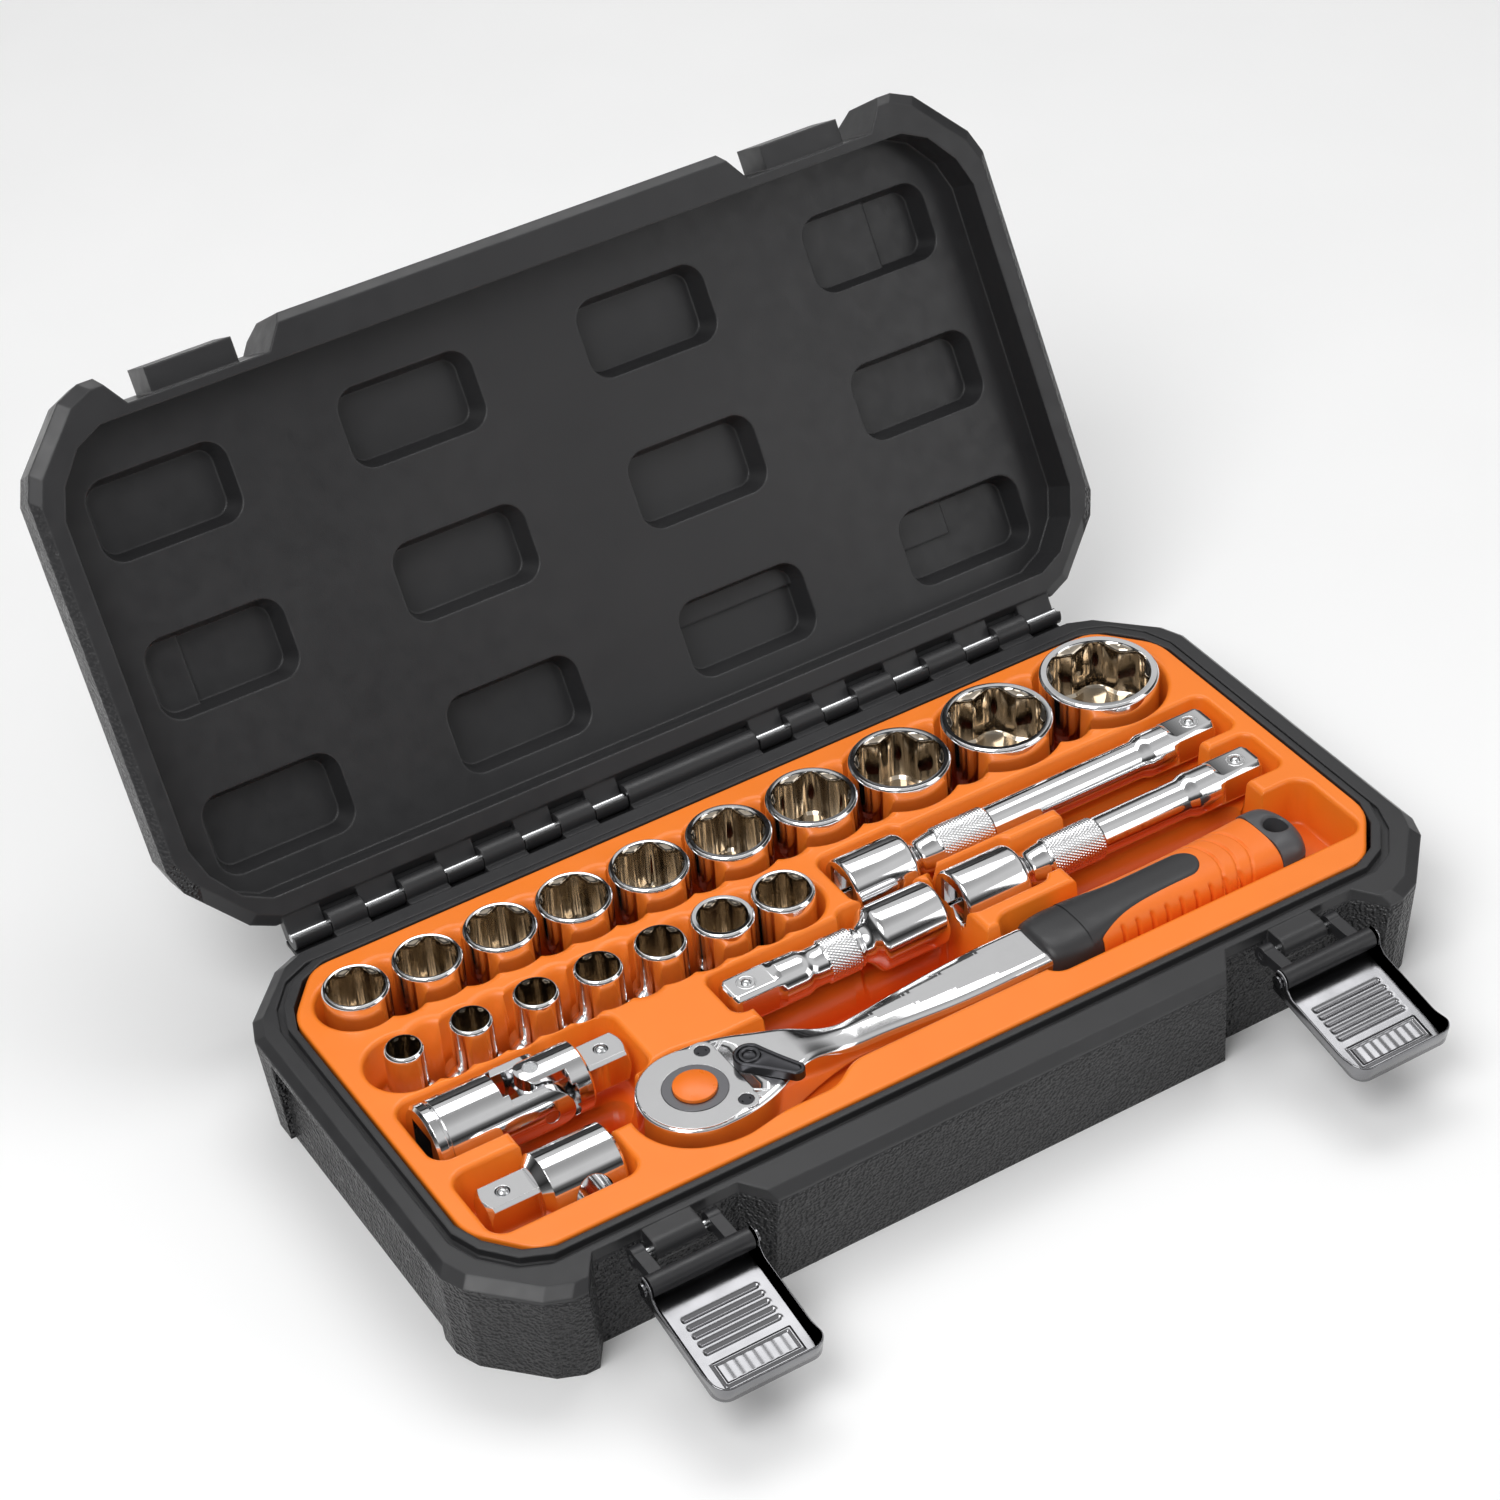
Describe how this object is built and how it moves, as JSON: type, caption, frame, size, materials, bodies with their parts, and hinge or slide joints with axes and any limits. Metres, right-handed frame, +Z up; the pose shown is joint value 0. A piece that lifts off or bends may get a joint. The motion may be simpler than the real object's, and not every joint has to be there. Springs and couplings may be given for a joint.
{
  "type": "socket wrench set in case",
  "caption": "Hinged plastic case with a formed tray holding chromed sockets, extension bars, a universal joint, a T adapter and a reversible ratchet.",
  "frame": {"origin": "centre of the case base's flat underside", "axes": "+X along the case to the right seen from the latches, +Y towards the hinge, +Z up"},
  "size_m": [0.377, 0.3722, 0.2103],
  "materials": {
    "case_plastic": "moulded black plastic, stippled outside walls, smooth rim",
    "tray_plastic": "orange formed plastic, satin",
    "chrome": "mirror-polished chrome on forged chrome vanadium steel",
    "latch_steel": "dark bright-plated stamped steel",
    "rod_steel": "plain steel rod",
    "link_plastic": "tough black plastic",
    "black_steel": "blackened steel",
    "cover_steel": "chromed steel plate",
    "gear_steel": "dark phosphated steel",
    "button_plastic": "orange moulded plastic",
    "grip_black": "hard black grip plastic",
    "grip_orange": "soft orange grip rubber",
    "cap_grey": "dark grey end cap plastic"
  },
  "bodies": {
    "case_base": {"base_shell": "case_plastic", "tray_back_left": "tray_plastic", "tray_back_right": "tray_plastic", "tray_front_row": "tray_plastic", "tray_bars": "tray_plastic", "tray_joint": "tray_plastic", "tray_head": "tray_plastic", "tray_grip": "tray_plastic", "hinge_rods": "rod_steel", "link_pins": "rod_steel"},
    "lid": {"lid_shell": "case_plastic"},
    "latch_link_left": {"latch_link_left": "link_plastic", "plate_pin_left": "latch_steel"},
    "latch_plate_left": {"latch_plate_left": "latch_steel"},
    "latch_link_right": {"latch_link_right": "link_plastic", "plate_pin_right": "latch_steel"},
    "latch_plate_right": {"latch_plate_right": "latch_steel"},
    "extension_150": {"extension_150": "chrome", "extension_150_end": "chrome"},
    "extension_150_ball": {"extension_150_ball": "rod_steel"},
    "extension_125": {"extension_125": "chrome", "extension_125_end": "chrome"},
    "extension_125_ball": {"extension_125_ball": "rod_steel"},
    "extension_75": {"extension_75": "chrome"},
    "extension_75_ball": {"extension_75_ball": "rod_steel"},
    "uj_body": {"uj_socket_yoke": "chrome"},
    "uj_cross": {"uj_block": "chrome", "uj_pins": "rod_steel"},
    "uj_drive": {"uj_drive_yoke": "chrome"},
    "uj_ball": {"uj_ball": "rod_steel"},
    "t_adapter": {"t_adapter": "chrome"},
    "t_adapter_ball": {"t_adapter_ball": "rod_steel"},
    "ratchet": {"ratchet_body": "chrome", "head_cover": "cover_steel", "cover_screws": "black_steel", "grip_core": "grip_black", "grip_sleeve": "grip_orange", "grip_cap": "cap_grey"},
    "drive_gear": {"drive_gear": "gear_steel"},
    "release_button": {"release_button": "button_plastic"},
    "ratchet_ball": {"ratchet_ball": "rod_steel"},
    "reversing_lever": {"reversing_lever": "black_steel"},
    "pawl": {"pawl": "gear_steel"},
    "socket_17": {"socket_17": "chrome"},
    "socket_18": {"socket_18": "chrome"},
    "socket_19": {"socket_19": "chrome"},
    "socket_20": {"socket_20": "chrome"},
    "socket_21": {"socket_21": "chrome"},
    "socket_22": {"socket_22": "chrome"},
    "socket_24": {"socket_24": "chrome"},
    "socket_27": {"socket_27": "chrome"},
    "socket_30": {"socket_30": "chrome"},
    "socket_32": {"socket_32": "chrome"},
    "socket_10": {"socket_10": "chrome"},
    "socket_11": {"socket_11": "chrome"},
    "socket_12": {"socket_12": "chrome"},
    "socket_13": {"socket_13": "chrome"},
    "socket_14": {"socket_14": "chrome"},
    "socket_15": {"socket_15": "chrome"},
    "socket_16": {"socket_16": "chrome"}
  },
  "joints": [
    {"name": "lid_hinge", "type": "hinge", "parent": "case_base", "child": "lid", "pos_m": [0, 0.0994, 0.04], "axis": [-1, 0, 0], "range_deg": [-120, 0]},
    {"name": "latch_link_left", "type": "hinge", "parent": "case_base", "child": "latch_link_left", "pos_m": [-0.12, -0.0935, 0.0355], "axis": [-1, 0, 0], "range_deg": [-100, 0]},
    {"name": "latch_plate_left", "type": "hinge", "parent": "latch_link_left", "child": "latch_plate_left", "pos_m": [-0.12, -0.108, 0.037], "axis": [1, 0, 0], "range_deg": [-202.1, 0]},
    {"name": "latch_link_right", "type": "hinge", "parent": "case_base", "child": "latch_link_right", "pos_m": [0.12, -0.0935, 0.0355], "axis": [-1, 0, 0], "range_deg": [-100, 0]},
    {"name": "latch_plate_right", "type": "hinge", "parent": "latch_link_right", "child": "latch_plate_right", "pos_m": [0.12, -0.108, 0.037], "axis": [1, 0, 0], "range_deg": [-202.1, 0]},
    {"name": "extension_150_lift", "type": "slide", "parent": "case_base", "child": "extension_150", "axis": [0, 0, 1], "range_m": [0, 0.06]},
    {"name": "extension_125_lift", "type": "slide", "parent": "case_base", "child": "extension_125", "axis": [0, 0, 1], "range_m": [0, 0.06]},
    {"name": "extension_75_lift", "type": "slide", "parent": "case_base", "child": "extension_75", "axis": [0, 0, 1], "range_m": [0, 0.06]},
    {"name": "extension_150_ball_press", "type": "slide", "parent": "extension_150", "child": "extension_150_ball", "axis": [0, 0, 1], "range_m": [-0.00095, 0], "stiffness_N_per_m": 500},
    {"name": "extension_125_ball_press", "type": "slide", "parent": "extension_125", "child": "extension_125_ball", "axis": [0, 0, 1], "range_m": [-0.00095, 0], "stiffness_N_per_m": 500},
    {"name": "extension_75_ball_press", "type": "slide", "parent": "extension_75", "child": "extension_75_ball", "axis": [0, 0, 1], "range_m": [-0.00095, 0], "stiffness_N_per_m": 500},
    {"name": "uj_lift", "type": "slide", "parent": "case_base", "child": "uj_body", "axis": [0, 0, 1], "range_m": [0, 0.06]},
    {"name": "uj_pitch", "type": "hinge", "parent": "uj_body", "child": "uj_cross", "pos_m": [-0.125, -0.012, 0.036], "axis": [0, -1, 0], "range_deg": [0, 45]},
    {"name": "uj_yaw", "type": "hinge", "parent": "uj_cross", "child": "uj_drive", "pos_m": [-0.125, -0.012, 0.036], "axis": [0, 0, 1], "range_deg": [-6, 6]},
    {"name": "uj_ball_press", "type": "slide", "parent": "uj_drive", "child": "uj_ball", "axis": [0, 0, 1], "range_m": [-0.00095, 0], "stiffness_N_per_m": 500},
    {"name": "t_adapter_lift", "type": "slide", "parent": "case_base", "child": "t_adapter", "axis": [0, 0, 1], "range_m": [0, 0.06]},
    {"name": "t_adapter_ball_press", "type": "slide", "parent": "t_adapter", "child": "t_adapter_ball", "axis": [0, 0, 1], "range_m": [-0.00095, 0], "stiffness_N_per_m": 500},
    {"name": "ratchet_lift", "type": "slide", "parent": "case_base", "child": "ratchet", "axis": [0, 0, 1], "range_m": [0, 0.06]},
    {"name": "drive_spin", "type": "hinge", "parent": "ratchet", "child": "drive_gear", "pos_m": [-0.0858, -0.0493, 0.0375], "axis": [0, 0, 1], "continuous": true},
    {"name": "button_press", "type": "slide", "parent": "drive_gear", "child": "release_button", "axis": [0, 0, 1], "range_m": [-0.003, 0], "stiffness_N_per_m": 500},
    {"name": "ratchet_ball_press", "type": "slide", "parent": "drive_gear", "child": "ratchet_ball", "axis": [1, 0, 0], "range_m": [-0.00096, 0]},
    {"name": "lever_turn", "type": "hinge", "parent": "ratchet", "child": "reversing_lever", "pos_m": [-0.0654, -0.0493, 0.047], "axis": [0, 0, 1], "range_deg": [0, 114]},
    {"name": "pawl_shift", "type": "hinge", "parent": "ratchet", "child": "pawl", "pos_m": [-0.0858, -0.0493, 0.0375], "axis": [0, 0, 1], "range_deg": [0, 8.05]},
    {"name": "socket_17_lift", "type": "slide", "parent": "case_base", "child": "socket_17", "axis": [0, 0, 1], "range_m": [0, 0.06]},
    {"name": "socket_18_lift", "type": "slide", "parent": "case_base", "child": "socket_18", "axis": [0, 0, 1], "range_m": [0, 0.06]},
    {"name": "socket_19_lift", "type": "slide", "parent": "case_base", "child": "socket_19", "axis": [0, 0, 1], "range_m": [0, 0.06]},
    {"name": "socket_20_lift", "type": "slide", "parent": "case_base", "child": "socket_20", "axis": [0, 0, 1], "range_m": [0, 0.06]},
    {"name": "socket_21_lift", "type": "slide", "parent": "case_base", "child": "socket_21", "axis": [0, 0, 1], "range_m": [0, 0.06]},
    {"name": "socket_22_lift", "type": "slide", "parent": "case_base", "child": "socket_22", "axis": [0, 0, 1], "range_m": [0, 0.06]},
    {"name": "socket_24_lift", "type": "slide", "parent": "case_base", "child": "socket_24", "axis": [0, 0, 1], "range_m": [0, 0.06]},
    {"name": "socket_27_lift", "type": "slide", "parent": "case_base", "child": "socket_27", "axis": [0, 0, 1], "range_m": [0, 0.06]},
    {"name": "socket_30_lift", "type": "slide", "parent": "case_base", "child": "socket_30", "axis": [0, 0, 1], "range_m": [0, 0.06]},
    {"name": "socket_32_lift", "type": "slide", "parent": "case_base", "child": "socket_32", "axis": [0, 0, 1], "range_m": [0, 0.06]},
    {"name": "socket_10_lift", "type": "slide", "parent": "case_base", "child": "socket_10", "axis": [0, 0, 1], "range_m": [0, 0.06]},
    {"name": "socket_11_lift", "type": "slide", "parent": "case_base", "child": "socket_11", "axis": [0, 0, 1], "range_m": [0, 0.06]},
    {"name": "socket_12_lift", "type": "slide", "parent": "case_base", "child": "socket_12", "axis": [0, 0, 1], "range_m": [0, 0.06]},
    {"name": "socket_13_lift", "type": "slide", "parent": "case_base", "child": "socket_13", "axis": [0, 0, 1], "range_m": [0, 0.06]},
    {"name": "socket_14_lift", "type": "slide", "parent": "case_base", "child": "socket_14", "axis": [0, 0, 1], "range_m": [0, 0.06]},
    {"name": "socket_15_lift", "type": "slide", "parent": "case_base", "child": "socket_15", "axis": [0, 0, 1], "range_m": [0, 0.06]},
    {"name": "socket_16_lift", "type": "slide", "parent": "case_base", "child": "socket_16", "axis": [0, 0, 1], "range_m": [0, 0.06]}
  ],
  "couplings": [
    {"joint": "latch_plate_left", "follows": "latch_link_left", "ratio": 2.02},
    {"joint": "latch_plate_right", "follows": "latch_link_right", "ratio": 2.02},
    {"joint": "ratchet_ball_press", "follows": "button_press", "ratio": 0.3167},
    {"joint": "pawl_shift", "follows": "lever_turn", "ratio": 0.0702}
  ]
}
